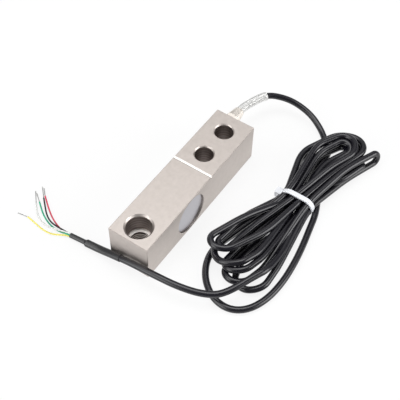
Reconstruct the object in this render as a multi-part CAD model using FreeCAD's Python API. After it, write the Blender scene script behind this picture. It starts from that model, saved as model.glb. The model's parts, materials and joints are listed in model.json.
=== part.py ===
import FreeCAD, Part
import math
import os

from FreeCAD import Vector

# Shear beam load cell, in millimetres. The beam lies along X with its underside on Z = 0 and its middle at
# the origin. The loading end is at -X, and the bolted end, where the cable leaves, is at +X.

# Beam
beam_length = 130.0
beam_width = 31.8
beam_height = 31.8
edge_break = 0.5

# Two through holes for the fixing bolts
bolt_hole_diameter = 13.5
bolt_hole_chamfer = 0.8
bolt_pitch = 25.4
bolt_to_cable_end = 15.7

# Loading hole: a counterbore over an M16 x 2 thread, drawn at its tapping size
load_to_free_end = 12.7
counterbore_diameter = 18.2
counterbore_depth = 15.0
counterbore_chamfer = 1.2
thread_tapping_diameter = 13.9
thread_lead_in_diameter = 16.4
thread_exit_chamfer = 1.0

# Round-bottomed groove across the top face, between the sensing part and the fixed part
groove_to_free_end = 74.6
groove_width = 2.3
groove_depth = 0.9

# Gauge pockets, one in each side, with the thin web between them
pocket_to_free_end = 50.5
web_thickness = 8.0
cover_land = 0.8
cover_ledge = 2.1
cover_clearance = 0.15
cover_thickness = 1.0
cover_recess = 1.4
potting_thickness = 2.0
cover_edge_break = 0.25

# Pieces bonded to the web
gauge_length = 9.0
gauge_height = 7.0
gauge_thickness = 0.3
gauge_tab_length = 2.4
gauge_tab_height = 5.0
strip_length = 13.0
strip_height = 3.6
strip_thickness = 1.0
strip_below_axis = 7.6
pad_count = 4
pad_pitch = 2.6
pad_size = 1.6
pad_thickness = 0.25
resistor_length = 3.2
resistor_diameter = 1.2
resistor_above_axis = 7.4
resistor_round = 0.3

# Wire channel from the gland to the left pocket, and the hole through the web
channel_diameter = 3.0
channel_offset = 9.0
web_hole_diameter = 2.4
web_hole_ahead = 8.6
core_diameter = 1.1
core_spacing = 1.2
core_drop = 7.0
core_bend_share = 0.33
jumper_diameter = 0.6
jumper_spacing = 0.9

# Cable gland
spigot_diameter = 8.0
spigot_length = 8.0
thread_clearance = 0.05
hex_across_flats = 11.0
flange_thickness = 4.0
sleeve_diameter = 9.0
sleeve_length = 6.5
gland_bore = 5.2
seal_diameter = 6.8
seal_depth = 4.0
seal_proud = 0.5
washer_diameter = 8.6
washer_thickness = 0.6
nut_gap = 0.4
nut_hex_length = 6.2
nut_shoulder_diameter = 10.8
nut_nose_diameter = 7.8
nut_nose_length = 9.6
nose_round = 0.35
ring_clearance = 0.05

# Strain relief spring round the cable
spring_diameter = 6.6
spring_clearance = 0.1
spring_seat_clearance = 0.2
spring_edge_count = 6

# Cable, its end sleeve and its wires
cable_diameter = 4.8
sleeve_outer_diameter = 5.4
neck_outer_diameter = 3.6
neck_length = 14.0
neck_wall = 0.22
sleeve_clearance = 0.02
sleeve_edge_count = 4
wire_diameter = 1.15
bare_diameter = 0.7
bare_round = 0.18
wire_lay_angle = 14.0
wire_lead_out = 2.4
wire_start_gap = 0.05
bare_start_gap = 0.1

# Share of the shorter run that each rounded corner of a route takes up
corner_share = 0.45

# Largest share of a rounded section's width or height that its corner radius takes up
section_corner_share = 0.48

# Cable tie round the waist of the hank
tie_x = 42.0
tie_width = 3.6
tie_thickness = 1.1
tie_head_length = 5.6
tie_head_depth = 5.0
tie_head_height = 5.2
tie_stub = 1.6
tie_head_chamfer = 0.55
waist_low_y = -79.9
waist_high_y = -56.0
waist_height = 13.0
waist_corner = 6.2
waist_clearance = 0.1

# Outline of the hank, from its loading-end tip to its far tip: x, low y, high y, height
lower_lobe = [
    (-41.5, -78.0, -58.0, 7.0),
    (-36.0, -84.0, -43.0, 10.0),
    (-22.0, -87.6, -33.5, 15.0),
    (0.0, -86.4, -39.0, 16.0),
    (24.0, -82.4, -48.0, 16.0),
]
upper_lobe = [
    (62.0, -86.5, -50.0, 15.0),
    (84.0, -92.0, -45.0, 13.5),
    (102.0, -98.5, -48.5, 12.0),
    (114.0, -99.0, -56.5, 11.5),
    (122.0, -86.0, -61.0, 9.0),
    (126.5, -80.0, -66.0, 7.0),
]
hank_corner = 4.5

# Routes of the stretches of cable that are not coiled, and of the wires at its end
# Length of cable inside the gland before the lead's first bend
lead_straight = 14.5
lead_route = [
    (92.0, 8.3, 15.9),
    (108.6, 2.8, 15.8),
    (115.7, -3.1, 14.6),
    (122.3, -16.3, 11.0),
    (122.0, -33.0, 6.8),
    (115.5, -46.5, 3.4),
    (105.5, -56.2, 2.6),
]
loop_route = [
    (-9.0, -42.9, 2.6),
    (-21.8, -39.4, 2.5),
    (-34.9, -41.8, 2.5),
    (-47.0, -49.7, 2.5),
    (-55.1, -61.5, 2.5),
    (-56.2, -74.3, 2.5),
    (-49.3, -84.6, 2.5),
    (-35.9, -90.7, 2.5),
    (-19.1, -92.6, 2.5),
    (-1.5, -91.5, 2.5),
    (15.2, -88.9, 2.5),
    (30.2, -85.6, 2.5),
    (43.3, -82.9, 2.5),
    (54.5, -78.1, 2.5),
    (64.0, -74.0, 2.8),
]
tail_route = [
    (-1.0, -77.7, 13.3),
    (-18.5, -79.0, 12.6),
    (-36.0, -76.5, 12.2),
    (-51.0, -69.5, 12.0),
    (-61.0, -57.0, 12.0),
    (-65.5, -40.5, 12.3),
    (-67.4, -22.0, 12.6),
    (-68.0, -4.5, 11.4),
    (-68.0, 10.5, 8.0),
    (-67.8, 23.0, 4.1),
    (-68.4, 34.0, 3.15),
]
# Each wire: its place round the neck in degrees, and the points of its route beyond the neck
wire_routes = {
    "yellow": (0.0, [(-73.0, 54.6, 1.4), (-75.8, 61.0, 0.7), (-76.0, 68.8, 0.6), (-74.6, 76.4, 0.6),
                     (-73.6, 83.4, 0.6)]),
    "green": (72.0, [(-70.4, 55.6, 2.3), (-70.5, 62.2, 1.4), (-69.0, 69.3, 0.7), (-65.6, 76.2, 0.6),
                     (-62.0, 81.3, 0.6), (-58.9, 85.4, 0.6)]),
    "white": (288.0, [(-70.6, 55.6, 0.9), (-71.8, 62.0, 0.6), (-72.0, 69.0, 0.6), (-69.7, 76.0, 0.6),
                      (-65.8, 81.8, 0.6), (-61.5, 86.2, 0.6)]),
    "black": (144.0, [(-68.9, 56.0, 2.3), (-69.0, 62.4, 1.4), (-67.6, 68.4, 0.7), (-64.2, 74.4, 0.6),
                      (-59.2, 80.0, 0.6), (-54.5, 85.2, 0.6)]),
    "red": (216.0, [(-68.3, 55.6, 0.8), (-67.3, 61.4, 0.6), (-64.8, 68.0, 0.6), (-61.0, 74.2, 0.6),
                    (-56.8, 80.0, 0.6), (-52.6, 85.5, 0.6)]),
}
# Far tip of each wire's bare strands
bare_tips = {
    "yellow": (-74.9, 91.6, 0.4),
    "green": (-53.9, 92.2, 0.4),
    "white": (-52.9, 94.3, 0.4),
    "black": (-47.2, 92.7, 0.4),
    "red": (-47.5, 91.0, 0.4),
}

# Places worked out from the sizes above
free_end_x = -beam_length / 2
cable_end_x = beam_length / 2
axis_z = beam_height / 2
side_y = beam_width / 2
load_x = free_end_x + load_to_free_end
groove_x = free_end_x + groove_to_free_end
pocket_x = free_end_x + pocket_to_free_end
cover_seat_diameter = beam_height - 2 * cover_land
pocket_diameter = cover_seat_diameter - 2 * cover_ledge
bolt_xs = [cable_end_x - bolt_to_cable_end - bolt_pitch, cable_end_x - bolt_to_cable_end]
web_y = web_thickness / 2
cover_inner_y = side_y - cover_recess - cover_thickness
potting_inner_y = cover_inner_y - potting_thickness
strip_z = axis_z - strip_below_axis
flange_end_x = cable_end_x + flange_thickness
sleeve_end_x = flange_end_x + sleeve_length
seal_start_x = sleeve_end_x - seal_depth
washer_start_x = sleeve_end_x + seal_proud
washer_end_x = washer_start_x + washer_thickness
nut_start_x = flange_end_x + nut_gap
nut_shoulder_x = nut_start_x + nut_hex_length
nut_end_x = nut_shoulder_x + nut_nose_length
cable_start_x = seal_start_x


def cylinder_along(axis, start, radius, length):
    return Part.makeCylinder(radius, length, Vector(*start), Vector(*axis))


def cone_along(axis, start, start_radius, end_radius, length):
    return Part.makeCone(start_radius, end_radius, length, Vector(*start), Vector(*axis))


def ring_along(axis, start, outer_radius, inner_radius, length):
    outer = cylinder_along(axis, start, outer_radius, length)
    return outer.cut(cylinder_along(axis, start, inner_radius, length))


def box_between(low, high):
    size = [b - a for a, b in zip(low, high)]
    return Part.makeBox(size[0], size[1], size[2], Vector(*low))


def hexagon_prism(start_x, length, across_flats):
    """A hexagonal bar along X on the gland's axis, with its corners turned off at both ends."""
    radius = across_flats / math.sqrt(3)
    corners = []
    for i in range(7):
        angle = math.radians(60 * i)
        y = channel_offset + radius * math.cos(angle)
        z = axis_z + radius * math.sin(angle)
        corners.append(Vector(start_x, y, z))
    prism = Part.Face(Part.makePolygon(corners)).extrude(Vector(length, 0, 0))
    turned = cylinder_along((1, 0, 0), (start_x, channel_offset, axis_z), radius, length)
    rim = [edge for edge in turned.Edges if edge.Closed]
    turned = turned.makeChamfer(radius - across_flats / 2, rim)
    return prism.common(turned)


def rounded_route(points):
    """Straight runs joined by tangent arcs, each as large as its two runs allow."""
    corners = [Vector(*p) for p in points]
    edges = []
    radii = []
    here = corners[0]
    for before, corner, after in zip(corners, corners[1:], corners[2:]):
        into = corner - before
        out = after - corner
        tangent = corner_share * min(into.Length, out.Length)
        half_turn = into.getAngle(out) / 2
        radius = tangent / math.tan(half_turn)
        into.normalize()
        out.normalize()
        inward = out - into
        inward.normalize()
        arc_start = corner - into * tangent
        arc_end = corner + out * tangent
        arc_middle = corner + inward * (radius / math.cos(half_turn) - radius)
        edges.append(Part.LineSegment(here, arc_start).toShape())
        edges.append(Part.Arc(arc_start, arc_middle, arc_end).toShape())
        radii.append(radius)
        here = arc_end
    edges.append(Part.LineSegment(here, corners[-1]).toShape())
    return edges, radii


def tube(edges, diameter):
    """A round bar swept along a chain of edges."""
    path = Part.Wire(edges)
    start = edges[0].valueAt(edges[0].FirstParameter)
    direction = edges[0].tangentAt(edges[0].FirstParameter)
    section = Part.Wire(Part.makeCircle(diameter / 2, start, direction))
    return path.makePipeShell([section], True, False)


def report_tube(name, shape, edges, diameter, radii):
    """Print a cord's bend radii, and its volume beside its section times its length."""
    length = sum(edge.Length for edge in edges)
    plain = math.pi * diameter ** 2 / 4 * length
    print(name, "length %.1f" % length, "volume / plain %.4f" % (shape.Volume / plain))
    print("  radii", " ".join("%.1f" % r for r in radii))


def rounded_section(x, low_y, high_y, low_z, high_z, corner):
    """A rounded rectangle across X, as a closed wire."""
    radius = min(corner, section_corner_share * min(high_y - low_y, high_z - low_z))
    diagonal = radius * (1 - math.sqrt(0.5))
    sides = [
        ((low_y + radius, low_z), (high_y - radius, low_z)),
        ((high_y, low_z + radius), (high_y, high_z - radius)),
        ((high_y - radius, high_z), (low_y + radius, high_z)),
        ((low_y, high_z - radius), (low_y, low_z + radius)),
    ]
    corner_middles = [
        (high_y - diagonal, low_z + diagonal),
        (high_y - diagonal, high_z - diagonal),
        (low_y + diagonal, high_z - diagonal),
        (low_y + diagonal, low_z + diagonal),
    ]
    edges = []
    for i, (start, end) in enumerate(sides):
        following = sides[(i + 1) % 4][0]
        edges.append(Part.LineSegment(Vector(x, *start), Vector(x, *end)).toShape())
        arc = Part.Arc(Vector(x, *end), Vector(x, *corner_middles[i]), Vector(x, *following))
        edges.append(arc.toShape())
    return Part.Wire(edges)


def make_beam():
    body = box_between((free_end_x, -side_y, 0), (cable_end_x, side_y, beam_height))
    body = body.makeChamfer(edge_break, body.Edges)
    cuts = []
    for x in bolt_xs:
        radius = bolt_hole_diameter / 2
        mouth = radius + bolt_hole_chamfer
        cuts.append(cylinder_along((0, 0, 1), (x, 0, 0), radius, beam_height))
        cuts.append(cone_along((0, 0, 1), (x, 0, 0), mouth, radius, bolt_hole_chamfer))
        cuts.append(cone_along((0, 0, -1), (x, 0, beam_height), mouth, radius, bolt_hole_chamfer))
    cuts.extend(loading_hole())
    groove_radius = (groove_width ** 2 / 4 + groove_depth ** 2) / (2 * groove_depth)
    groove_z = beam_height - groove_depth + groove_radius
    cuts.append(cylinder_along((0, 1, 0), (groove_x, -side_y, groove_z), groove_radius, beam_width))
    for side in (1, -1):
        pocket_start = (pocket_x, side * web_y, axis_z)
        seat_start = (pocket_x, side * cover_inner_y, axis_z)
        cuts.append(cylinder_along((0, side, 0), pocket_start, pocket_diameter / 2, side_y - web_y))
        cuts.append(cylinder_along((0, side, 0), seat_start, cover_seat_diameter / 2, side_y - cover_inner_y))
    channel_start = (pocket_x, channel_offset, axis_z)
    cuts.append(cylinder_along((1, 0, 0), channel_start, channel_diameter / 2, cable_end_x - pocket_x))
    web_hole_start = (pocket_x + web_hole_ahead, -web_y, strip_z)
    cuts.append(cylinder_along((0, 1, 0), web_hole_start, web_hole_diameter / 2, web_thickness))
    spigot_start = (cable_end_x, channel_offset, axis_z)
    tapped_radius = spigot_diameter / 2 + thread_clearance
    cuts.append(cylinder_along((-1, 0, 0), spigot_start, tapped_radius, spigot_length + thread_clearance))
    for cut in cuts:
        body = body.cut(cut)
    return body


def loading_hole():
    """Counterbore, thread at its tapping size, its lead-in and the chamfers at both mouths."""
    floor_z = beam_height - counterbore_depth
    bore = counterbore_diameter / 2
    thread = thread_tapping_diameter / 2
    lead_in = thread_lead_in_diameter / 2
    down = (0, 0, -1)
    return [
        cylinder_along(down, (load_x, 0, beam_height), bore, counterbore_depth),
        cone_along(down, (load_x, 0, beam_height), bore + counterbore_chamfer, bore, counterbore_chamfer),
        cone_along(down, (load_x, 0, floor_z), lead_in, thread, lead_in - thread),
        cylinder_along(down, (load_x, 0, floor_z), thread, floor_z),
        cone_along((0, 0, 1), (load_x, 0, 0), thread + thread_exit_chamfer, thread, thread_exit_chamfer),
    ]


def make_cover(side):
    radius = cover_seat_diameter / 2 - cover_clearance
    disc = cylinder_along((0, side, 0), (pocket_x, side * cover_inner_y, axis_z), radius, cover_thickness)
    rims = [edge for edge in disc.Edges if edge.Closed]
    outer = [edge for edge in rims if abs(edge.CenterOfMass.y) > cover_inner_y + cover_thickness / 2]
    return disc.makeChamfer(cover_edge_break, outer)


def make_potting(side):
    start = (pocket_x, side * potting_inner_y, axis_z)
    return cylinder_along((0, side, 0), start, pocket_diameter / 2, potting_thickness)


def on_web(side, low_x, high_x, low_z, high_z, base, thickness):
    """A flat piece that lies on the web, or on something that already stands off it by base."""
    near = web_y + base
    ys = sorted((side * near, side * (near + thickness)))
    return box_between((low_x, ys[0], low_z), (high_x, ys[1], high_z))


def make_gauge(side):
    half = gauge_length / 2
    foil = on_web(side, pocket_x - half, pocket_x + half, axis_z - gauge_height / 2,
                  axis_z + gauge_height / 2, 0, gauge_thickness)
    tab = on_web(side, pocket_x - half - gauge_tab_length, pocket_x - half, axis_z - gauge_tab_height / 2,
                 axis_z + gauge_tab_height / 2, 0, gauge_thickness)
    return foil.fuse(tab).removeSplitter()


def pad_x(index):
    return pocket_x + (index - (pad_count - 1) / 2) * pad_pitch - pad_pitch / 2


def make_strip(side):
    """A solder strip with a row of raised pads."""
    middle = (pad_x(0) + pad_x(pad_count - 1)) / 2
    strip = on_web(side, middle - strip_length / 2, middle + strip_length / 2, strip_z - strip_height / 2,
                   strip_z + strip_height / 2, 0, strip_thickness)
    for i in range(pad_count):
        pad = on_web(side, pad_x(i) - pad_size / 2, pad_x(i) + pad_size / 2, strip_z - pad_size / 2,
                     strip_z + pad_size / 2, strip_thickness, pad_thickness)
        strip = strip.fuse(pad)
    return strip.removeSplitter()


def make_resistor():
    """A small barrel resistor, bonded to the left face of the web above the gauge."""
    centre_y = web_y + resistor_diameter / 2
    start = (pocket_x - resistor_length / 2, centre_y, axis_z + resistor_above_axis)
    barrel = cylinder_along((1, 0, 0), start, resistor_diameter / 2, resistor_length)
    rims = [edge for edge in barrel.Edges if edge.Closed]
    return barrel.makeFillet(resistor_round, rims)


def make_jumpers():
    """Two fine wires through the web, from the end of one strip to the end of the other."""
    wires = []
    strip_edge = (pad_x(0) + pad_x(pad_count - 1)) / 2 + strip_length / 2
    hole_x = pocket_x + web_hole_ahead
    rise = web_y + strip_thickness / 2
    for k in (-0.5, 0.5):
        z = strip_z + k * jumper_spacing
        points = [(strip_edge, rise, z), (hole_x, rise, z), (hole_x, -rise, z), (strip_edge, -rise, z)]
        edges, radii = rounded_route(points)
        wires.append(tube(edges, jumper_diameter))
    return Part.makeCompound(wires)


def make_core(index):
    """One core: from the cut end of the jacket along the channel, then down to its pad on the left strip."""
    dy = core_spacing / 2 * (-1 if index % 2 else 1)
    dz = core_spacing / 2 * (1 if index < 2 else -1)
    y = channel_offset + dy
    z = axis_z + dz
    pad_top = web_y + strip_thickness + pad_thickness + core_diameter / 2
    end_x = pad_x(index)
    bend_x = end_x + core_drop
    middle_x = end_x + core_bend_share * core_drop
    middle_y = pad_top + core_bend_share * (y - pad_top)
    middle = (middle_x, middle_y, (z + strip_z) / 2)
    points = [(cable_start_x, y, z), (bend_x, y, z), middle, (end_x, pad_top, strip_z)]
    edges, radii = rounded_route(points)
    return tube(edges, core_diameter)


def on_gland(x):
    return (x, channel_offset, axis_z)


def make_gland_body():
    along = (1, 0, 0)
    spigot = cylinder_along(along, on_gland(cable_end_x - spigot_length), spigot_diameter / 2, spigot_length)
    flange = hexagon_prism(cable_end_x, flange_thickness, hex_across_flats)
    sleeve = cylinder_along(along, on_gland(flange_end_x), sleeve_diameter / 2, sleeve_length)
    body = spigot.fuse(flange).fuse(sleeve)
    whole = sleeve_end_x - cable_end_x + spigot_length
    body = body.cut(cylinder_along(along, on_gland(cable_end_x - spigot_length), gland_bore / 2, whole))
    seat = cylinder_along(along, on_gland(seal_start_x), seal_diameter / 2 + ring_clearance, seal_depth)
    return body.cut(seat).removeSplitter()


def make_gland_seal():
    inner = cable_diameter / 2 + ring_clearance
    return ring_along((1, 0, 0), on_gland(seal_start_x), seal_diameter / 2, inner, seal_depth + seal_proud)


def make_gland_washer():
    inner = cable_diameter / 2 + ring_clearance
    return ring_along((1, 0, 0), on_gland(washer_start_x), washer_diameter / 2, inner, washer_thickness)


def make_gland_nut():
    """Hexagonal skirt over the threaded sleeve, then a tapered nose with a rounded lip round the spring."""
    along = (1, 0, 0)
    nut = hexagon_prism(nut_start_x, nut_hex_length, hex_across_flats)
    shoulder = nut_shoulder_diameter / 2
    nose_end = nut_nose_diameter / 2
    nose = cone_along(along, on_gland(nut_shoulder_x), shoulder, nose_end, nut_nose_length)
    lip = [edge for edge in nose.Edges if edge.Closed and edge.CenterOfMass.x > nut_end_x - nose_round]
    nut = nut.fuse(nose.makeFillet(nose_round, lip))
    skirt = washer_end_x - nut_start_x
    nut = nut.cut(cylinder_along(along, on_gland(nut_start_x), sleeve_diameter / 2 + thread_clearance, skirt))
    bore = spring_diameter / 2 + spring_seat_clearance
    nut = nut.cut(cylinder_along(along, on_gland(nut_start_x), bore, nut_end_x - nut_start_x))
    return nut.removeSplitter()


def make_lead():
    """The cable from its cut end inside the gland to the hank, and the spring round its first bends."""
    straight = [on_gland(cable_start_x), on_gland(cable_start_x + lead_straight)]
    edges, radii = rounded_route(straight + lead_route)
    lead = tube(edges, cable_diameter)
    report_tube("cable_lead", lead, edges, cable_diameter, radii)
    guarded = edges[:spring_edge_count]
    inner = cable_diameter + 2 * spring_clearance
    spring = tube(guarded, spring_diameter).cut(tube(guarded, inner))
    seat = cylinder_along((-1, 0, 0), on_gland(washer_end_x), spring_diameter, washer_end_x)
    return lead, spring.cut(seat)


def make_hank():
    """Outer shape of the tied turns: two lobes that narrow to the waist inside the tie."""
    low_y = waist_low_y + waist_clearance
    high_y = waist_high_y - waist_clearance
    low_z = tie_thickness + waist_clearance
    high_z = tie_thickness + waist_height - waist_clearance
    waist_xs = (tie_x - tie_width / 2 - waist_clearance, tie_x + tie_width / 2 + waist_clearance)
    waists = [rounded_section(x, low_y, high_y, low_z, high_z, waist_corner) for x in waist_xs]
    lower = [rounded_section(x, low, high, 0, top, hank_corner) for x, low, high, top in lower_lobe]
    upper = [rounded_section(x, low, high, 0, top, hank_corner) for x, low, high, top in upper_lobe]
    lower_solid = Part.makeLoft(lower + [waists[0]], True, False)
    waist_solid = Part.makeLoft(waists, True, True)
    upper_solid = Part.makeLoft([waists[1]] + upper, True, False)
    hank = lower_solid.fuse(waist_solid).fuse(upper_solid)
    bounds = hank.BoundBox
    above_floor = box_between((bounds.XMin, bounds.YMin, 0), (bounds.XMax, bounds.YMax, bounds.ZMax))
    return hank.common(above_floor)


def make_tie():
    """A closed strap round the waist, with its ratchet head on the beam's side and a trimmed stub."""
    half = tie_width / 2
    high_z = waist_height + 2 * tie_thickness
    inner = rounded_section(tie_x - half, waist_low_y, waist_high_y, tie_thickness,
                            tie_thickness + waist_height, waist_corner)
    outer = rounded_section(tie_x - half, waist_low_y - tie_thickness, waist_high_y + tie_thickness, 0,
                            high_z, waist_corner + tie_thickness)
    along = Vector(tie_width, 0, 0)
    strap = Part.Face(outer).extrude(along).cut(Part.Face(inner).extrude(along))
    head_y = waist_high_y + tie_thickness / 2
    head_z = (high_z - tie_head_height) / 2
    head = box_between((tie_x - tie_head_length / 2, head_y, head_z),
                       (tie_x + tie_head_length / 2, head_y + tie_head_depth, head_z + tie_head_height))
    upright = [edge for edge in head.Edges if abs(edge.tangentAt(edge.FirstParameter).z) > 0.9]
    head = head.makeChamfer(tie_head_chamfer, upright)
    stub_y = head_y + (tie_head_depth - tie_thickness) / 2
    stub = box_between((tie_x - half, stub_y, head_z - tie_stub),
                       (tie_x + half, stub_y + tie_thickness, head_z))
    return strap.fuse(head).fuse(stub).removeSplitter()


def neck_frame():
    """End of the jacket, the direction it points in, and two directions across it."""
    end = Vector(*tail_route[-1])
    along = end - Vector(*tail_route[-2])
    along.normalize()
    across = along.cross(Vector(0, 0, 1))
    across.normalize()
    up = across.cross(along)
    return end, along, across, up


def make_tail():
    """The free end of the cable, and the shrunk sleeve that covers its end and the root of the wires."""
    edges, radii = rounded_route(tail_route)
    tail = tube(edges, cable_diameter)
    report_tube("cable_tail", tail, edges, cable_diameter, radii)
    end, along, across, up = neck_frame()
    covered = edges[-sleeve_edge_count:]
    inner = cable_diameter + 2 * sleeve_clearance
    sleeve = tube(covered, sleeve_outer_diameter)
    shoulder = Part.makeCone(sleeve_outer_diameter / 2, neck_outer_diameter / 2,
                             sleeve_outer_diameter - neck_outer_diameter, end, along)
    neck = Part.makeCylinder(neck_outer_diameter / 2, neck_length, end, along)
    sleeve = sleeve.fuse(shoulder).fuse(neck).cut(tube(covered, inner))
    bore = Part.makeCylinder(neck_outer_diameter / 2 - neck_wall, neck_length, end, along)
    return tail, sleeve.cut(bore)


def in_neck(angle, depth):
    """A wire's place in the neck: its angle round the bundle and its distance beyond the jacket's end."""
    end, along, across, up = neck_frame()
    ring = neck_outer_diameter / 2 - neck_wall - wire_diameter / 2 - sleeve_clearance
    turn = math.radians(angle)
    return tuple(end - across * (ring * math.cos(turn)) + up * (ring * math.sin(turn)) + along * depth)


def make_wire(colour):
    """One wire from the cut jacket, twisted inside the neck, then along its own route, and its bare end."""
    angle, points = wire_routes[colour]
    twisted = [in_neck(angle - wire_lay_angle, wire_start_gap), in_neck(angle, neck_length / 2)]
    edges, radii = rounded_route(twisted + [in_neck(angle, neck_length + wire_lead_out)] + points)
    wire = tube(edges, wire_diameter)
    report_tube("wire_" + colour, wire, edges, wire_diameter, radii)
    last = edges[-1].valueAt(edges[-1].LastParameter)
    reach = Vector(*bare_tips[colour]) - last
    length = reach.Length - bare_start_gap
    reach.normalize()
    start = last + reach * bare_start_gap
    bare = Part.makeCylinder(bare_diameter / 2, length, start, reach)
    rims = [edge for edge in bare.Edges if edge.Closed]
    tip = [edge for edge in rims if (edge.CenterOfMass - start).Length > length / 2]
    return wire, bare.makeFillet(bare_round, tip)


def build():
    parts = {"beam_body": make_beam()}
    for side, name in ((1, "left"), (-1, "right")):
        parts["strain_gauge_" + name] = make_gauge(side)
        parts["terminal_strip_" + name] = make_strip(side)
        parts["potting_" + name] = make_potting(side)
        parts["cover_disc_" + name] = make_cover(side)
    parts["balance_resistor"] = make_resistor()
    parts["bridge_jumpers"] = make_jumpers()
    for index, colour in enumerate(("red", "black", "green", "white")):
        parts["inner_wire_" + colour] = make_core(index)
    parts["gland_body"] = make_gland_body()
    parts["gland_seal"] = make_gland_seal()
    parts["gland_washer"] = make_gland_washer()
    parts["gland_nut"] = make_gland_nut()
    hank = make_hank()
    lead, spring = make_lead()
    tail, sleeve = make_tail()
    edges, radii = rounded_route(loop_route)
    loop = tube(edges, cable_diameter)
    report_tube("cable_loop", loop, edges, cable_diameter, radii)
    parts["relief_spring"] = spring
    parts["cable_lead"] = lead.cut(hank)
    parts["cable_hank"] = hank
    parts["cable_loop"] = loop.cut(hank)
    parts["cable_tie"] = make_tie()
    parts["cable_tail"] = tail.cut(hank)
    parts["end_sleeve"] = sleeve
    for colour in wire_routes:
        wire, bare = make_wire(colour)
        parts["wire_" + colour] = wire
        parts["tinned_end_" + colour] = bare
    return parts


os.makedirs("parts", exist_ok=True)
for node, shape in build().items():
    shape.exportStep("parts/" + node + ".step")
    print(node, "solids", len(shape.Solids), "valid", shape.isValid(), "volume %.1f" % shape.Volume)
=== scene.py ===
import json
import math
import bpy
from mathutils import Matrix, Vector


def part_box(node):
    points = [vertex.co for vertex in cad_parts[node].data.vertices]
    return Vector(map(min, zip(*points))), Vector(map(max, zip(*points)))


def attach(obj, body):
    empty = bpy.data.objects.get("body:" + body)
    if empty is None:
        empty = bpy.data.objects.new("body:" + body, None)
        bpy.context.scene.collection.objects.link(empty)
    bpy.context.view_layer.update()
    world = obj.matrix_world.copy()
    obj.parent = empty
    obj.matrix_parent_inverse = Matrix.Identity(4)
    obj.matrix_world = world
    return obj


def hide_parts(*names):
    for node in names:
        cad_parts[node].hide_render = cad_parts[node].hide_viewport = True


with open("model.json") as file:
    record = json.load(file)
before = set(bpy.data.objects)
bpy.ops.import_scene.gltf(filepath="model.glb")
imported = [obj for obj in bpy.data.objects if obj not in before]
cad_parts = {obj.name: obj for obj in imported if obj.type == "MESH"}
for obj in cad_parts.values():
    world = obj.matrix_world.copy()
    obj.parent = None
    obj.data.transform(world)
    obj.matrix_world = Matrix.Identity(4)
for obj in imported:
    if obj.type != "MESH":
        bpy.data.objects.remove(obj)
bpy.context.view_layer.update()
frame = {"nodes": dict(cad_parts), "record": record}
nodes = frame["nodes"]


# The beam is one bar of alloy steel, milled, drilled and then plated with satin nickel all over.
# Its bore walls are painted darker, as painted shade for the dim inside of the holes.
def start_material(name):
    """A new material, its node tree and its Principled shader."""
    material = bpy.data.materials.new(name)
    material.use_nodes = True
    return material, material.node_tree, material.node_tree.nodes["Principled BSDF"]


def add_node(tree, kind, **values):
    """A node with its properties and the default values of its inputs set."""
    node = tree.nodes.new(kind)
    for key, value in values.items():
        if key in node.inputs:
            node.inputs[key].default_value = value
        else:
            setattr(node, key, value)
    return node


def feed(tree, socket, value):
    """Links an input to another node's output, or sets it to a plain value."""
    if isinstance(value, bpy.types.NodeSocket):
        tree.links.new(value, socket)
    else:
        socket.default_value = value


def work_out(tree, operation, *terms):
    """The result of one calculation on outputs or plain numbers."""
    node = add_node(tree, "ShaderNodeMath", operation=operation)
    for socket, term in zip(node.inputs, terms):
        feed(tree, socket, term)
    return node.outputs[0]


def work_out_vector(tree, operation, *terms):
    """The result of one calculation on outputs or plain vectors."""
    node = add_node(tree, "ShaderNodeVectorMath", operation=operation)
    for socket, term in zip(node.inputs, terms):
        feed(tree, socket, term)
    return node.outputs["Value" if operation in ("DOT_PRODUCT", "DISTANCE") else "Vector"]


def split(tree, vector):
    """The X, Y and Z outputs of a vector."""
    node = add_node(tree, "ShaderNodeSeparateXYZ")
    tree.links.new(vector, node.inputs[0])
    return node.outputs


def start_group(name, inputs, outputs):
    """A node group that takes numbers or vectors and puts out numbers, with its two end nodes."""
    group = bpy.data.node_groups.new(name, "ShaderNodeTree")
    for label, default in inputs.items():
        kind = "NodeSocketFloat" if isinstance(default, (int, float)) else "NodeSocketVector"
        socket = group.interface.new_socket(name=label, in_out="INPUT", socket_type=kind)
        socket.default_value = default
    for label in outputs:
        group.interface.new_socket(name=label, in_out="OUTPUT", socket_type="NodeSocketFloat")
    return group, group.nodes.new("NodeGroupInput"), group.nodes.new("NodeGroupOutput")


def place_group(tree, group, **values):
    """The group placed in a material, with this material's own values."""
    node = tree.nodes.new("ShaderNodeGroup")
    node.node_tree = group
    for key, value in values.items():
        node.inputs[key.replace("_", " ")].default_value = value
    return node


def dress(material, *names):
    """Gives CAD nodes this material in place of their plain one."""
    for name in names:
        mesh = nodes[name].data
        mesh.materials.clear()
        mesh.materials.append(material)


# Grain: a fine texture for roughness and height, with a broad cloudy tone under it.
grain, grain_in, grain_out = start_group(
    "grain",
    {"Grain Size": 0.0004, "Cloud Size": 0.02, "Smooth": 0.3, "Rough": 0.4},
    ("Roughness", "Height", "Tone"),
)
grain_place = add_node(grain, "ShaderNodeTexCoord").outputs["Object"]
grain_noises = []
for size_label in ("Grain Size", "Cloud Size"):
    grain_noise = add_node(grain, "ShaderNodeTexNoise", Detail=3.0, Roughness=0.55)
    grain_scale = work_out(grain, "DIVIDE", 1.0, grain_in.outputs[size_label])
    grain.links.new(grain_place, grain_noise.inputs["Vector"])
    grain.links.new(grain_scale, grain_noise.inputs["Scale"])
    grain_noises.append(grain_noise.outputs["Fac"])
grain_blend = add_node(grain, "ShaderNodeMix", Factor=0.5)
grain.links.new(grain_noises[0], grain_blend.inputs["A"])
grain.links.new(grain_noises[1], grain_blend.inputs["B"])
grain_range = add_node(grain, "ShaderNodeMapRange", **{"From Min": 0.3, "From Max": 0.7})
grain.links.new(grain_blend.outputs["Result"], grain_range.inputs["Value"])
grain.links.new(grain_in.outputs["Smooth"], grain_range.inputs["To Min"])
grain.links.new(grain_in.outputs["Rough"], grain_range.inputs["To Max"])
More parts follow.
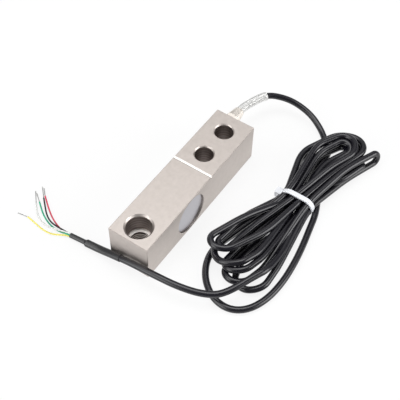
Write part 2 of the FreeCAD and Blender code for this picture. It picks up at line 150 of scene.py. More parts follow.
grain.links.new(grain_range.outputs["Result"], grain_out.inputs["Roughness"])
grain.links.new(grain_noises[0], grain_out.inputs["Height"])
grain.links.new(grain_noises[1], grain_out.inputs["Tone"])

# Stripes: even bands across one direction, as a mask for colour and as a height for relief.
stripes, stripes_in, stripes_out = start_group(
    "stripes", {"Direction": (1.0, 0.0, 0.0), "Spacing": 0.001, "Share": 0.5}, ("Mask", "Height")
)
stripes_place = add_node(stripes, "ShaderNodeTexCoord").outputs["Object"]
stripes_along = work_out_vector(stripes, "DOT_PRODUCT", stripes_place, stripes_in.outputs["Direction"])
stripes_count = work_out(stripes, "DIVIDE", stripes_along, stripes_in.outputs["Spacing"])
stripes_wave = work_out(stripes, "PINGPONG", stripes_count, 0.5)
stripes_height = work_out(stripes, "MULTIPLY", stripes_wave, 2.0)
stripes_mask = work_out(stripes, "LESS_THAN", stripes_height, stripes_in.outputs["Share"])
stripes.links.new(stripes_mask, stripes_out.inputs["Mask"])
stripes.links.new(stripes_height, stripes_out.inputs["Height"])

# Distance: how far the surface lies from a centre, along the chosen directions only.
distance, distance_in, distance_out = start_group(
    "distance", {"Centre": (0.0, 0.0, 0.0), "Directions": (1.0, 1.0, 1.0)}, ("Distance",)
)
distance_place = add_node(distance, "ShaderNodeTexCoord").outputs["Object"]
distance_flat = work_out_vector(distance, "MULTIPLY", distance_place, distance_in.outputs["Directions"])
distance_length = work_out_vector(distance, "DISTANCE", distance_flat, distance_in.outputs["Centre"])
distance.links.new(distance_length, distance_out.inputs["Distance"])

relief_strength = 0.6


def add_finish(
    name, light, dark, grain_size, cloud_size, smooth, rough, depth, metallic=0.0, specular=0.5
):
    """A material whose colour, roughness and relief, depth metres deep, come from the grain."""
    material, tree, shader = start_material(name)
    shader.inputs["Metallic"].default_value = metallic
    shader.inputs["Specular IOR Level"].default_value = specular
    texture = place_group(
        tree, grain, Grain_Size=grain_size, Cloud_Size=cloud_size, Smooth=smooth, Rough=rough
    )
    tint = add_node(tree, "ShaderNodeMix", data_type="RGBA")
    tint.inputs["A"].default_value = (*dark, 1)
    tint.inputs["B"].default_value = (*light, 1)
    tree.links.new(texture.outputs["Tone"], tint.inputs["Factor"])
    tree.links.new(tint.outputs["Result"], shader.inputs["Base Color"])
    tree.links.new(texture.outputs["Roughness"], shader.inputs["Roughness"])
    relief = add_node(tree, "ShaderNodeBump", Distance=depth, Strength=relief_strength)
    tree.links.new(texture.outputs["Height"], relief.inputs["Height"])
    tree.links.new(relief.outputs["Normal"], shader.inputs["Normal"])
    return material


def lay_over(material, label, kind, mask, value):
    """Lays another value over what feeds one of a material's inputs, where the mask is 1."""
    tree = material.node_tree
    target = tree.nodes["Principled BSDF"].inputs[label]
    under = target.links[0].from_socket
    layer = add_node(tree, "ShaderNodeMix", data_type=kind)
    layer.inputs["B"].default_value = value
    tree.links.new(mask, layer.inputs["Factor"])
    tree.links.new(under, layer.inputs["A"])
    tree.links.new(layer.outputs["Result"], target)


def paint_over(material, mask, colour):
    """Lays another colour over a material's own, where the mask is 1."""
    lay_over(material, "Base Color", "RGBA", mask, (*colour, 1))


def add_relief(material, height, depth):
    """Adds a second relief, in metres, over a material's grain."""
    tree = material.node_tree
    target = tree.nodes["Principled BSDF"].inputs["Normal"]
    under = target.links[0].from_socket
    relief = add_node(tree, "ShaderNodeBump", Distance=depth, Strength=relief_strength)
    tree.links.new(height, relief.inputs["Height"])
    tree.links.new(under, relief.inputs["Normal"])
    tree.links.new(relief.outputs["Normal"], target)


nickel = add_finish(
    "nickel_plate", (0.67, 0.615, 0.58), (0.52, 0.47, 0.435),
    grain_size=0.0006, cloud_size=0.0035, smooth=0.4, rough=0.54, depth=0.00002, metallic=1.0,
)
nickel_tree = nickel.node_tree
nickel_place = add_node(nickel_tree, "ShaderNodeTexCoord").outputs["Object"]
nickel_normal = add_node(nickel_tree, "ShaderNodeNewGeometry").outputs["Normal"]
nickel_upward = split(nickel_tree, nickel_normal)["Z"]

# Bore walls: painted darker as painted shade, with the fine rings that the drill and the boring bar
# leave.
bores = {}
for mount in frame["record"]["mounts"]:
    if "r_mm" in mount["dims"]:
        bores[mount["name"]] = (mount["pos_m"][0], mount["dims"]["r_mm"] / 1000)
bore_skin = 0.0001
bore_tilt = 0.3
bore_wall = work_out(nickel_tree, "COMPARE", nickel_upward, 0.0, bore_tilt)
bore_inside = {}
bore_any = 0.0
for bore_name, (bore_x, bore_radius) in bores.items():
    bore_axis = place_group(nickel_tree, distance, Centre=(bore_x, 0, 0), Directions=(1, 1, 0))
    inside = work_out(nickel_tree, "LESS_THAN", bore_axis.outputs["Distance"], bore_radius + bore_skin)
    bore_any = work_out(nickel_tree, "MAXIMUM", bore_any, inside)
    bore_inside[bore_name] = inside
bore_shade_mask = work_out(nickel_tree, "MULTIPLY", bore_any, bore_wall)
# Painted shade: the bore walls are painted darker.
paint_over(nickel, bore_shade_mask, (0.35, 0.3, 0.28))
bore_rings = place_group(nickel_tree, stripes, Direction=(0, 0, 1), Spacing=0.0026, Share=0.5)
ring_mask = work_out(nickel_tree, "MULTIPLY", bore_rings.outputs["Mask"], bore_shade_mask)
ring_height = work_out(nickel_tree, "MULTIPLY", bore_rings.outputs["Height"], bore_shade_mask)
paint_over(nickel, ring_mask, (0.25, 0.21, 0.195))
add_relief(nickel, ring_height, depth=0.0001)

# The wall between the threads is painted darkest, as painted shade in the thread roots.
root_shade_mask = work_out(nickel_tree, "MULTIPLY", bore_inside["loading_thread"], bore_shade_mask)
paint_over(nickel, root_shade_mask, (0.12, 0.1, 0.09))

# The long and short edges of the top are broken with a file, so they shine less.
beam_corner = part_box("beam_body")[1]
edge_break = 0.00055
edge_slope = 0.7
edge_spread = 0.25
edge_facing = work_out(nickel_tree, "COMPARE", nickel_upward, edge_slope, edge_spread)
edge_offset = split(nickel_tree, work_out_vector(nickel_tree, "ABSOLUTE", nickel_place))
edge_short = work_out(nickel_tree, "GREATER_THAN", edge_offset["X"], beam_corner.x - edge_break)
edge_long = work_out(nickel_tree, "GREATER_THAN", edge_offset["Y"], beam_corner.y - edge_break)
edge_near = work_out(nickel_tree, "MAXIMUM", edge_short, edge_long)
edge_mask = work_out(nickel_tree, "MULTIPLY", edge_near, edge_facing)
lay_over(nickel, "Roughness", "FLOAT", edge_mask, 0.8)
paint_over(nickel, edge_mask, (0.6, 0.55, 0.52))

# The cone at the foot of the counterbore is painted bright as a painted highlight, and its normal is
# levelled so that it mirrors what hangs above it.
seat_height = 0.0162
seat_reach = 0.00909
seat_slope = 0.4
seat_levelling = 0.78
seat_centre = (bores["loading_counterbore"][0], 0, seat_height)
seat_round = place_group(nickel_tree, distance, Centre=seat_centre)
seat_near = work_out(nickel_tree, "LESS_THAN", seat_round.outputs["Distance"], seat_reach)
seat_facing = work_out(nickel_tree, "GREATER_THAN", nickel_upward, seat_slope)
seat_highlight_mask = work_out(nickel_tree, "MULTIPLY", seat_near, seat_facing)
lay_over(nickel, "Roughness", "FLOAT", seat_highlight_mask, 0.44)
paint_over(nickel, seat_highlight_mask, (0.95, 0.91, 0.87))
seat_share = work_out(nickel_tree, "MULTIPLY", seat_highlight_mask, seat_levelling)
lay_over(nickel, "Normal", "VECTOR", seat_share, (0.0, 0.0, 1.0))
normal_input = nickel_tree.nodes["Principled BSDF"].inputs["Normal"]
seat_normal = work_out_vector(nickel_tree, "NORMALIZE", normal_input.links[0].from_socket)
nickel_tree.links.new(seat_normal, normal_input)

# The cross groove in the top is painted with light and shade: a painted highlight on its far side, and a
# painted shadow on its near side.
# Each painted side has its middle along the beam, half its width and its painted colour.
groove_reach = 0.001
groove_painted_light = (
    (0.01015, 0.0007, (0.85, 0.82, 0.79)),
    (0.00895, 0.0005, (0.36, 0.33, 0.31)),
)
groove_place = split(nickel_tree, nickel_place)
groove_high = work_out(nickel_tree, "GREATER_THAN", groove_place["Z"], beam_corner.z - groove_reach)
for groove_x, groove_half, groove_painted_colour in groove_painted_light:
    groove_near = work_out(nickel_tree, "COMPARE", groove_place["X"], groove_x, groove_half)
    groove_paint_mask = work_out(nickel_tree, "MULTIPLY", groove_near, groove_high)
    paint_over(nickel, groove_paint_mask, groove_painted_colour)
dress(nickel, "beam_body")


# The loading thread is tapped in the beam below the counterbore, as one helical ridge of coarse pitch.
# Its crest stands out from the tapping size, and it runs out into the cone at the top of the hole.
thread_x, tapping_radius = bores["loading_thread"]
thread_pitch = 0.002
thread_depth = 0.0006
thread_crest = tapping_radius - thread_depth
thread_sink = 0.00002
thread_root = tapping_radius + thread_sink
thread_crest_half = 0.0001
thread_root_half = 0.0006
thread_low = 0.0012
thread_turns = 7
thread_steps = 40
thread_profile = (
    (thread_root, -thread_root_half),
    (thread_crest, -thread_crest_half),
    (thread_crest, thread_crest_half),
    (thread_root, thread_root_half),
)
thread_corners = len(thread_profile)
thread_points = []
thread_faces = []
for step in range(thread_turns * thread_steps + 1):
    turn = 2 * math.pi * step / thread_steps
    height = thread_low + thread_pitch * step / thread_steps
    for radius, rise in thread_profile:
        thread_points.append((
            thread_x + radius * math.cos(turn), radius * math.sin(turn), height + rise,
        ))
    if step:
        here = thread_corners * step
        last = here - thread_corners
        for corner in range(thread_corners):
            after = (corner + 1) % thread_corners
            thread_faces.append((last + corner, here + corner, here + after, last + after))
thread_faces.append(tuple(range(thread_corners)))
thread_faces.append(tuple(reversed(range(here, here + thread_corners))))


def add_mesh(name, points, faces):
    """A new mesh and its object, linked to the scene."""
    mesh = bpy.data.meshes.new(name)
    mesh.from_pydata(points, [], faces)
    piece = bpy.data.objects.new(name, mesh)
    bpy.context.scene.collection.objects.link(piece)
    return piece


thread = add_mesh("loading_thread_ridge", thread_points, thread_faces)
# The ridge's steel is painted brighter than the beam's nickel, as a painted highlight on its crest.
tapped = add_finish(
    "tapped_steel", (0.9, 0.85, 0.81), (0.78, 0.72, 0.68),
    grain_size=0.0004, cloud_size=0.004, smooth=0.5, rough=0.62, depth=0.00001, metallic=1.0,
)
tapped_tree = tapped.node_tree
flank_middle = tapping_radius - thread_depth / 2
tapped_axis = place_group(tapped_tree, distance, Centre=(thread_x, 0, 0), Directions=(1, 1, 0))
# Painted shade: the flanks towards the root are painted dark.
tapped_root_shade = work_out(tapped_tree, "GREATER_THAN", tapped_axis.outputs["Distance"], flank_middle)
paint_over(tapped, tapped_root_shade, (0.14, 0.12, 0.105))
thread.data.materials.append(tapped)
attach(thread, "root")


# The strain gauges are amber polymer films with a slanting foil grid, one on each face of the thin web.
# They are bonded with hot-cured glue, and they feel how far the web shears under load.
gauge = add_finish(
    "gauge_film", (0.62, 0.36, 0.09), (0.5, 0.27, 0.06),
    grain_size=0.0003, cloud_size=0.004, smooth=0.25, rough=0.4, depth=0.00001,
)
foil_grid = place_group(gauge.node_tree, stripes, Direction=(0.707, 0, 0.707), Spacing=0.0005, Share=0.55)
paint_over(gauge, foil_grid.outputs["Mask"], (0.42, 0.3, 0.22))
dress(gauge, "strain_gauge_left", "strain_gauge_right")


# The terminal strips are small glass-fibre boards with tinned pads, glued to the web beside the gauges.
# They carry the joints between the fine gauge leads and the cable's wires.
board = add_finish(
    "strip_board", (0.12, 0.22, 0.1), (0.08, 0.16, 0.07),
    grain_size=0.0004, cloud_size=0.003, smooth=0.35, rough=0.5, depth=0.00001,
)
board_weave = place_group(board.node_tree, stripes, Direction=(0, 0, 1), Spacing=0.0003)
add_relief(board, board_weave.outputs["Height"], depth=0.00001)
dress(board, "terminal_strip_left", "terminal_strip_right")


# The balance resistor is a lacquered ceramic barrel with colour bands, soldered across the left strip.
# It trims the bridge, so that an unloaded beam reads nothing.
barrel = add_finish(
    "resistor_body", (0.32, 0.5, 0.62), (0.26, 0.43, 0.55),
    grain_size=0.0003, cloud_size=0.002, smooth=0.2, rough=0.35, depth=0.00001,
)
barrel_bands = place_group(barrel.node_tree, stripes, Direction=(1, 0, 0), Spacing=0.0008, Share=0.4)
paint_over(barrel, barrel_bands.outputs["Mask"], (0.3, 0.09, 0.03))
dress(barrel, "balance_resistor")


# Four thin copper wires in coloured plastic join the cable to the left strip, through a drilled way.
# Two short jumpers pass through the web, from one strip to the other.
core_colours = {
    "red": (0.72, 0.055, 0.11),
    "black": (0.012, 0.012, 0.013),
    "green": (0.03, 0.42, 0.24),
    "white": (0.82, 0.82, 0.8),
    "yellow": (0.93, 0.82, 0.16),
}
core_fading = 0.86
insulation = {}
for colour_name, colour in core_colours.items():
    faded = tuple(core_fading * channel for channel in colour)
    insulation[colour_name] = add_finish(
        "insulation_" + colour_name, colour, faded,
        grain_size=0.0003, cloud_size=0.006, smooth=0.28, rough=0.42, depth=0.00001,
    )
for colour_name in ("red", "black", "green", "white"):
    dress(insulation[colour_name], "inner_wire_" + colour_name)
dress(insulation["white"], "bridge_jumpers")


# The potting is grey silicone, poured over the gauges in both pockets and left to set.
# It is levelled just under each cover and keeps damp out.
potting = add_finish(
    "potting", (0.34, 0.34, 0.33), (0.28, 0.28, 0.275),
    grain_size=0.0008, cloud_size=0.006, smooth=0.35, rough=0.5, depth=0.00003,
)
dress(potting, "potting_left", "potting_right")


# The cover discs are thin stainless sheet with a fine turned grain, pressed into the side pockets.
# A bead of sealant at the rim holds each of them.
cover = add_finish(
    "cover_steel", (0.56, 0.55, 0.58), (0.5, 0.495, 0.525),
    grain_size=0.0004, cloud_size=0.004, smooth=0.3, rough=0.42, depth=0.00001, metallic=1.0,
)
cover_tree = cover.node_tree
cover_low, cover_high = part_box("cover_disc_right")
cover_centre = (cover_low + cover_high) / 2
turning_width = 0.00015
cover_axis = place_group(
    cover_tree, distance, Centre=(cover_centre.x, 0, cover_centre.z), Directions=(1, 0, 1)
)
turned_rings = work_out(cover_tree, "PINGPONG", cover_axis.outputs["Distance"], turning_width)
turned_height = work_out(cover_tree, "DIVIDE", turned_rings, turning_width)
add_relief(cover, turned_height, depth=0.000006)
dress(cover, "cover_disc_left", "cover_disc_right")


# The cable gland is turned from brass and plated: a body screwed into the beam, and a nut over it.
# A pressure washer and a rubber seal inside grip the cable and keep water out.
plate = add_finish(
    "gland_plate", (0.95, 0.9, 0.84), (0.88, 0.825, 0.76),
    grain_size=0.0003, cloud_size=0.004, smooth=0.46, rough=0.58, depth=0.00001, metallic=1.0,
)
dress(plate, "gland_body", "gland_washer", "gland_nut")
rubber = add_finish(
    "seal_rubber", (0.02, 0.02, 0.02), (0.014, 0.014, 0.014),
    grain_size=0.0004, cloud_size=0.004, smooth=0.5, rough=0.7, depth=0.00002,
)
dress(rubber, "gland_seal")


# The cable is one length of wires in a black plastic jacket, from the gland to its stripped end.
# It leaves the gland and dips to the floor, where it is folded into a tied hank with one loop left out.
# Its tail then runs past the loading end of the beam.
cable_diameter = 0.0048
lead_route = [
    (0.0715, 0.009, 0.0159), (0.086, 0.009, 0.0159), (0.092, 0.0083, 0.0159),
    (0.1086, 0.0028, 0.0158), (0.1157, -0.0031, 0.0146), (0.1223, -0.0163, 0.011),
    (0.122, -0.033, 0.0068), (0.1155, -0.0465, 0.0034), (0.108, -0.0545, 0.0026),
    (0.1025, -0.0605, 0.0025), (0.0965, -0.0633, 0.0025), (0.086, -0.0632, 0.0025),
    (0.064, -0.0618, 0.0026), (0.042, -0.0602, 0.0041), (0.017, -0.0515, 0.0028),
]
loop_route = [
    (-0.009, -0.0429, 0.0026), (-0.0218, -0.0394, 0.0025), (-0.0349, -0.0418, 0.0025),
    (-0.047, -0.0497, 0.0025), (-0.0551, -0.0615, 0.0025), (-0.0562, -0.0743, 0.0025),
    (-0.0493, -0.0846, 0.0025), (-0.0359, -0.0907, 0.0025), (-0.0191, -0.0926, 0.0025),
    (-0.0015, -0.0915, 0.0025), (0.0152, -0.0889, 0.0025), (0.0302, -0.0856, 0.0025),
    (0.0433, -0.0829, 0.0025), (0.0545, -0.0781, 0.0025), (0.064, -0.074, 0.0028),
]
tail_route = [
    (0.004, -0.081, 0.0055), (-0.0215, -0.0825, 0.0145), (-0.031, -0.078, 0.0145),
    (-0.0535, -0.0685, 0.0125), (-0.061, -0.057, 0.012), (-0.0655, -0.0405, 0.0123),
    (-0.0674, -0.022, 0.0126), (-0.068, -0.0045, 0.0114), (-0.068, 0.0105, 0.008),
    (-0.0678, 0.023, 0.0041), (-0.0684, 0.034, 0.00315),
]

# In the tie the strands lie in three rows, each with its first strand's y, the step in y and its height.
tie_low, tie_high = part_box("cable_tie")
tie_x = (tie_low.x + tie_high.x) / 2
tie_rows = {
    "low": (-0.0602, -0.00395, 0.0041),
    "middle": (-0.0584, -0.00475, 0.0075),
    "top": (-0.0598, -0.00527, 0.0113),
}


def tied_at(row, number):
    """The place of one strand inside the tie, counted from the beam's side."""
    first_y, step, height = tie_rows[row]
    return Vector((tie_x, first_y + step * number, height))


# Each bend has the strand in the tie that it comes from, and its start, its tip and its finish.
bends = [
    (None, (0.077, -0.085, 0.0085), (0.102, -0.0875, 0.0055), (0.0795, -0.0755, 0.004)),
    (("low", 4), (-0.016, -0.0605, 0.003), (-0.039, -0.0755, 0.0035), (-0.01, -0.0845, 0.006)),
    (("middle", 4), (0.084, -0.0855, 0.003), (0.113, -0.0955, 0.0075), (0.085, -0.0835, 0.013)),
    (("top", 3), (-0.015, -0.0765, 0.0025), (-0.0395, -0.064, 0.0065), (-0.016, -0.0565, 0.0025)),
    (("low", 2), (0.078, -0.0475, 0.0045), (0.117, -0.0715, 0.007), (0.082, -0.0775, 0.008)),
    (("low", 3), (-0.013, -0.0735, 0.0105), (-0.035, -0.061, 0.0105), (-0.016, -0.0545, 0.007)),
    (("low", 1), (0.089, -0.0585, 0.005), (0.1065, -0.073, 0.0075), (0.084, -0.067, 0.008)),
    (("middle", 2), (-0.013, -0.0705, 0.014), (-0.0345, -0.0515, 0.012), (-0.0095, -0.0435, 0.0055)),
    (("top", 0), (0.092, -0.0545, 0.0125), (0.111, -0.0765, 0.0145), (0.078, -0.0735, 0.014)),
    (("top", 1), (0.0065, -0.055, 0.01), (-0.0235, -0.0455, 0.011), (0.008, -0.0445, 0.01)),
    (("middle", 0), (0.083, -0.0475, 0.009), (0.1175, -0.077, 0.0115), (0.078, -0.0775, 0.0115)),
    (("top", 2), (0.004, -0.0655, 0.0145), (-0.0275, -0.042, 0.0145), (0.006, -0.0465, 0.0145)),
    (("middle", 1), (0.0885, -0.059, 0.0105), (0.107, -0.0745, 0.0125), (0.0825, -0.071, 0.009)),
]
last_hold = ("middle", 3)
leg_share = 0.52
corner_spread = 0.85
end_roundness = 0.58
shoulder_share = 0.6
turns = []
for number, (hold, *places) in enumerate(bends):
    start, tip, finish = (Vector(place) for place in places)
    middle = (start + finish) / 2
    reach = tip - middle
    half_width = corner_spread * (start - finish).length / 2
    to_corner = reach * (1 - end_roundness * half_width / reach.length)
    corners = [middle + (side - middle) * corner_spread + to_corner for side in (start, finish)]
    corner_leg = (tip - corners[0]).length
    shoulders = []
    for corner, side in zip(corners, (start, finish)):
        shoulders.append(corner.lerp(side, min(shoulder_share, corner_leg / (side - corner).length)))
    if hold:
        held = tied_at(*hold)
        turns += [held, held.lerp(start, leg_share)]
    turns += [start, shoulders[0], corners[0], tip, corners[1], shoulders[1], finish]
    next_hold = bends[number + 1][0] if number + 1 < len(bends) else last_hold
    turns.append(tied_at(*next_hold).lerp(finish, leg_share))
turns.append(tied_at(*last_hold))


def lay_cord(name, points, diameter):
    """A round cord along one smooth spline with these control points, and the places along its line."""
    curve = bpy.data.curves.new(name, "CURVE")
    curve.dimensions = "3D"
    curve.resolution_u = 8
    spline = curve.splines.new("NURBS")
    spline.points.add(len(points) - 1)
    for point, place in zip(spline.points, points):
        point.co = (*place, 1)
    spline.order_u = 3
    spline.use_endpoint_u = True
    cord = bpy.data.objects.new(name, curve)
    bpy.context.scene.collection.objects.link(cord)
    bpy.context.view_layer.update()
    line = bpy.data.meshes.new_from_object(cord)
    path = [vertex.co.copy() for vertex in line.vertices]
    curve.bevel_depth = diameter / 2
    curve.bevel_resolution = 6
    curve.use_fill_caps = True
    return cord, path


cable, cable_path = lay_cord("cable", lead_route + loop_route + turns + tail_route, cable_diameter)
jacket = add_finish(
    "cable_jacket", (0.0095, 0.009, 0.0135), (0.0055, 0.005, 0.0085),
    grain_size=0.0006, cloud_size=0.02, smooth=0.2, rough=0.28, depth=0.000006, specular=0.55,
)
cable.data.materials.append(jacket)
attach(cable, "root")
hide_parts("cable_lead", "cable_hank", "cable_loop", "cable_tail")


# The relief spring is stainless wire, close-wound on a mandrel and slid over the cable.
# It sits against the nose of the gland's nut, and keeps the cable from kinking there.
spring_wire = 0.0008
spring_pitch = 0.00086
spring_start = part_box("relief_spring")[0].x
spring_length = 0.036
spring_outside = 0.0066
spring_radius = (spring_outside - spring_wire) / 2
spring_steps = 16
spring_points = []
travelled = 0.0
side = Vector((0, 0, 1))
step_length = spring_pitch / spring_steps
next_mark = None
angle = 0.0
for here, there in zip(cable_path, cable_path[1:]):
    run = there - here
    along = run.normalized()
    side = (side - along * side.dot(along)).normalized()
    other = along.cross(side)
    if next_mark is None and there.x >= spring_start:
        next_mark = travelled + (spring_start - here.x) / run.x * run.length
        spring_end = next_mark + spring_length
    while next_mark is not None and next_mark <= min(travelled + run.length, spring_end):
        centre = here + along * (next_mark - travelled)
        spring_points.append(centre + (side * math.cos(angle) + other * math.sin(angle)) * spring_radius)
        next_mark += step_length
        angle += 2 * math.pi / spring_steps
    travelled += run.length
    if next_mark is not None and next_mark > spring_end:
        break


def lay_wires(name, lines, diameter, roundness):
    """Thin bare wires as one piece, one wire along each line of places."""
    curve = bpy.data.curves.new(name, "CURVE")
    curve.dimensions = "3D"
    curve.bevel_depth = diameter / 2
    curve.bevel_resolution = roundness
    curve.use_fill_caps = True
    for line in lines:
        spline = curve.splines.new("POLY")
        spline.points.add(len(line) - 1)
        for point, place in zip(spline.points, line):
            point.co = (*place, 1)
        spline.use_smooth = True
    wires = bpy.data.objects.new(name, curve)
    bpy.context.scene.collection.objects.link(wires)
    return wires


spring = lay_wires("relief_spring_wire", [spring_points], spring_wire, roundness=2)
spring_steel = add_finish(
    "spring_steel", (0.9, 0.9, 0.89), (0.82, 0.82, 0.81),
    grain_size=0.0003, cloud_size=0.004, smooth=0.5, rough=0.62, depth=0.00001, metallic=1.0,
)
spring.data.materials.append(spring_steel)
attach(spring, "root")
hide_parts("relief_spring")


# The tie is a moulded strap of white nylon with a locking head.
# It is pulled tight round the waist of the hank, with the head on the beam's side.
nylon = add_finish(
    "tie_nylon", (0.84, 0.86, 0.9), (0.8, 0.82, 0.86),
    grain_size=0.0006, cloud_size=0.006, smooth=0.32, rough=0.46, depth=0.00002,
)
dress(nylon, "cable_tie")


# The sleeve is a short length of black plastic tube, heat-shrunk over the end of the jacket.
# Its narrow neck grips the five wires.
shrink = add_finish(
    "shrink_sleeve", (0.016, 0.016, 0.018), (0.009, 0.009, 0.01),
    grain_size=0.0008, cloud_size=0.008, smooth=0.28, rough=0.4, depth=0.00003, specular=0.7,
)
dress(shrink, "end_sleeve")


# Five copper wires in coloured plastic fan out of the sleeve's neck and lie on the floor.
# Each is stripped at the end, with its strands twisted together and tinned.
wire_diameter = 0.00115
wire_ring = 0.000985
wire_twist = 14
neck_start = 0.00005
neck_middle = 0.007
neck_mouth = 0.0164
jacket_end = Vector(tail_route[-1])
neck_along = (jacket_end - Vector(tail_route[-2])).normalized()
neck_across = neck_along.cross(Vector((0, 0, 1))).normalized()
neck_up = neck_across.cross(neck_along)

# Each wire has its angle in the neck, in degrees, its length, the tip of its strands and its way there.
wire_routes = {
    "yellow": (340, 0.0509, (-0.0749, 0.0916, 0.0004), [
        (-0.073, 0.0546, 0.0014), (-0.0758, 0.061, 0.0007), (-0.076, 0.0688, 0.0006),
        (-0.0746, 0.0764, 0.0006), (-0.0736, 0.0834, 0.0006),
    ]),
    "green": (52, 0.0546, (-0.0539, 0.0922, 0.0004), [
        (-0.0707, 0.0556, 0.0012), (-0.0706, 0.0622, 0.0006), (-0.069, 0.0693, 0.0006),
        (-0.0656, 0.0762, 0.0006), (-0.062, 0.0813, 0.0006), (-0.0589, 0.0854, 0.0006),
    ]),
    "white": (124, 0.0557, (-0.0529, 0.0942, 0.0004), [
        (-0.0705, 0.0552, 0.0032), (-0.0714, 0.0598, 0.0024), (-0.0719, 0.0654, 0.0012),
        (-0.0718, 0.0706, 0.0006), (-0.07, 0.0761, 0.0006), (-0.0664, 0.0815, 0.0006),
        (-0.0615, 0.0862, 0.0006),
    ]),
    "black": (196, 0.0559, (-0.0472, 0.0927, 0.0004), [
        (-0.0687, 0.0556, 0.002), (-0.0689, 0.062, 0.0018), (-0.0676, 0.0684, 0.0009),
        (-0.0642, 0.0744, 0.0006), (-0.0592, 0.08, 0.0006), (-0.0545, 0.0852, 0.0006),
    ]),
    "red": (268, 0.0559, (-0.0475, 0.091, 0.0004), [
        (-0.0687, 0.0556, 0.0006), (-0.0675, 0.0614, 0.0006), (-0.0648, 0.068, 0.0006),
        (-0.061, 0.0742, 0.0006), (-0.0568, 0.08, 0.0006), (-0.0526, 0.0855, 0.0006),
    ]),
}
strand_diameter = 0.00023
strand_lay = 0.004
strand_steps = 20
outer_strands = 6
tinned = add_finish(
    "tinned_strands", (0.52, 0.52, 0.51), (0.38, 0.38, 0.37),
    grain_size=0.0002, cloud_size=0.003, smooth=0.38, rough=0.52, depth=0.00001, metallic=1.0,
)


def in_neck(angle, depth):
    """A point on the ring of wires inside the sleeve's neck."""
    turn = math.radians(angle)
    return (
        jacket_end
        - neck_across * wire_ring * math.cos(turn)
        + neck_up * wire_ring * math.sin(turn)
        + neck_along * depth
    )


def twist_strands(start, end):
    """The lines of the outer strands, laid round a straight one in the middle."""
    run = end - start
    side = run.cross(Vector((0, 0, 1))).normalized()
    up = side.cross(run.normalized())
    lines = []
    for strand in range(outer_strands + 1):
        ring = strand_diameter if strand < outer_strands else 0.0
        line = []
        for step in range(strand_steps + 1):
            share = step / strand_steps
            turn = 2 * math.pi * (strand / outer_strands + share * run.length / strand_lay)
            line.append(start + run * share + (side * math.cos(turn) + up * math.sin(turn)) * ring)
        lines.append(line)
    return lines


for colour_name, (angle, wire_length, tip, route) in wire_routes.items():
    wire_start = in_neck(angle - wire_twist, neck_start)
    points = [wire_start, in_neck(angle, neck_middle), in_neck(angle, neck_mouth)] + route
    wire = lay_cord("insulated_wire_" + colour_name, points, wire_diameter)[0]
    wire.data.materials.append(insulation[colour_name])
    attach(wire, "root")
    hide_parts("wire_" + colour_name)
    strand_lines = twist_strands(Vector(route[-1]), Vector(tip))
    strands = lay_wires("twisted_strands_" + colour_name, strand_lines, strand_diameter, roundness=1)
    strands.data.materials.append(tinned)
    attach(strands, "root")
    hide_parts("tinned_end_" + colour_name)


# The floor is a broad sheet of white paper that keeps a soft shadow of the load cell.
# The camera and the metal see it nearly white, whatever light falls on it.
floor_reach = 4.0
floor_height = -0.0002
floor_corners = [
    (x * floor_reach, y * floor_reach, floor_height) for x, y in ((-1, -1), (1, -1), (1, 1), (-1, 1))
]
floor = add_mesh("floor", floor_corners, [(0, 1, 2, 3)])
paper, paper_tree, paper_shader = start_material("white_paper")
paper_shader.inputs["Base Color"].default_value = (0.9, 0.9, 0.9, 1)
paper_shader.inputs["Roughness"].default_value = 0.9
paper_shader.inputs["Specular IOR Level"].default_value = 0.0
paper_whiteness = 0.86
paper_glow = add_node(paper_tree, "ShaderNodeEmission", Strength=1.0)
paper_path = add_node(paper_tree, "ShaderNodeLightPath")
paper_seen = paper_path.outputs["Is Camera Ray"]
for other_ray in ("Is Glossy Ray", "Is Transmission Ray"):
    paper_seen = work_out(paper_tree, "MAXIMUM", paper_seen, paper_path.outputs[other_ray])
paper_share = work_out(paper_tree, "MULTIPLY", paper_seen, paper_whiteness)
paper_mix = add_node(paper_tree, "ShaderNodeMixShader")
paper_tree.links.new(paper_share, paper_mix.inputs["Fac"])
paper_tree.links.new(paper_shader.outputs["BSDF"], paper_mix.inputs[1])
paper_tree.links.new(paper_glow.outputs["Emission"], paper_mix.inputs[2])
paper_tree.links.new(paper_mix.outputs["Shader"], paper_tree.nodes["Material Output"].inputs["Surface"])
floor.data.materials.append(paper)


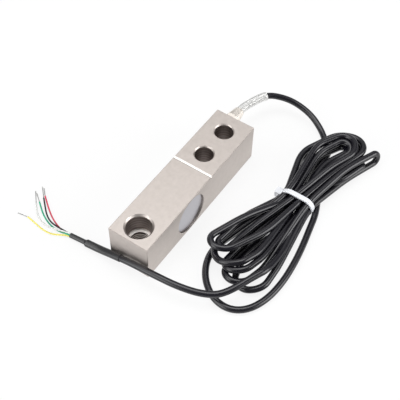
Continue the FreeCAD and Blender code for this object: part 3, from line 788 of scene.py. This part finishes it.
# The light is a pale tent with five round soft boxes, each fading out toward its rim.
# One hangs overhead with a broad weak one beside it, and the others light the end, the front and the top.
# Each has its direction, the angles in degrees where it starts to fade and ends, and its strength.
soft_boxes = (
    ((0.16, 0.1, 0.98), 10, 24, 3.6),
    ((0.5, 0.33, 0.8), 10, 50, 0.35),
    ((-0.84, 0.36, 0.28), 12, 26, 3.6),
    ((0.26, -0.85, 0.37), 12, 26, 5.0),
    ((-0.4, 0.42, 0.82), 10, 26, 2.1),
)
tent_strength = 0.2
world = bpy.data.worlds.new("studio")
bpy.context.scene.world = world
world.use_nodes = True
world_tree = world.node_tree
sky = world_tree.nodes["Background"]
sky.inputs["Color"].default_value = (1.0, 1.0, 1.0, 1)
sky_place = add_node(world_tree, "ShaderNodeTexCoord").outputs["Generated"]
sky_sum = tent_strength
for direction, inner, outer, strength in soft_boxes:
    toward = work_out_vector(world_tree, "DOT_PRODUCT", sky_place, Vector(direction).normalized())
    box_glow = add_node(
        world_tree, "ShaderNodeMapRange", interpolation_type="SMOOTHSTEP",
        **{
            "From Min": math.cos(math.radians(outer)),
            "From Max": math.cos(math.radians(inner)),
            "To Max": strength,
        },
    )
    world_tree.links.new(toward, box_glow.inputs["Value"])
    sky_sum = work_out(world_tree, "ADD", sky_sum, box_glow.outputs["Result"])
sky_path = add_node(world_tree, "ShaderNodeLightPath")
sky_seen = add_node(world_tree, "ShaderNodeMix", B=1.0)
world_tree.links.new(sky_path.outputs["Is Camera Ray"], sky_seen.inputs["Factor"])
world_tree.links.new(sky_sum, sky_seen.inputs["A"])
world_tree.links.new(sky_seen.outputs["Result"], sky.inputs["Strength"])


# The camera has a long lens and looks down on the beam from over its loading end.
# It is rolled a little, and keeps everything sharp.
camera_data = bpy.data.cameras.new("camera")
camera_data.sensor_width = 36.0
camera_data.lens = 76.14
camera_data.clip_start = 0.01
camera = bpy.data.objects.new("camera", camera_data)
camera_place = Vector((-0.29752, -0.20801, 0.48671))
camera_aim = Vector((0.00874, -0.00745, 0.0))
camera_roll = math.radians(1.417)
facing = (camera_aim - camera_place).to_track_quat("-Z", "Y").to_matrix()
facing = facing @ Matrix.Rotation(camera_roll, 3, "Z")
camera.matrix_world = Matrix.Translation(camera_place) @ facing.to_4x4()
bpy.context.scene.collection.objects.link(camera)
bpy.context.scene.camera = camera
bpy.context.scene.view_settings.view_transform = "Standard"
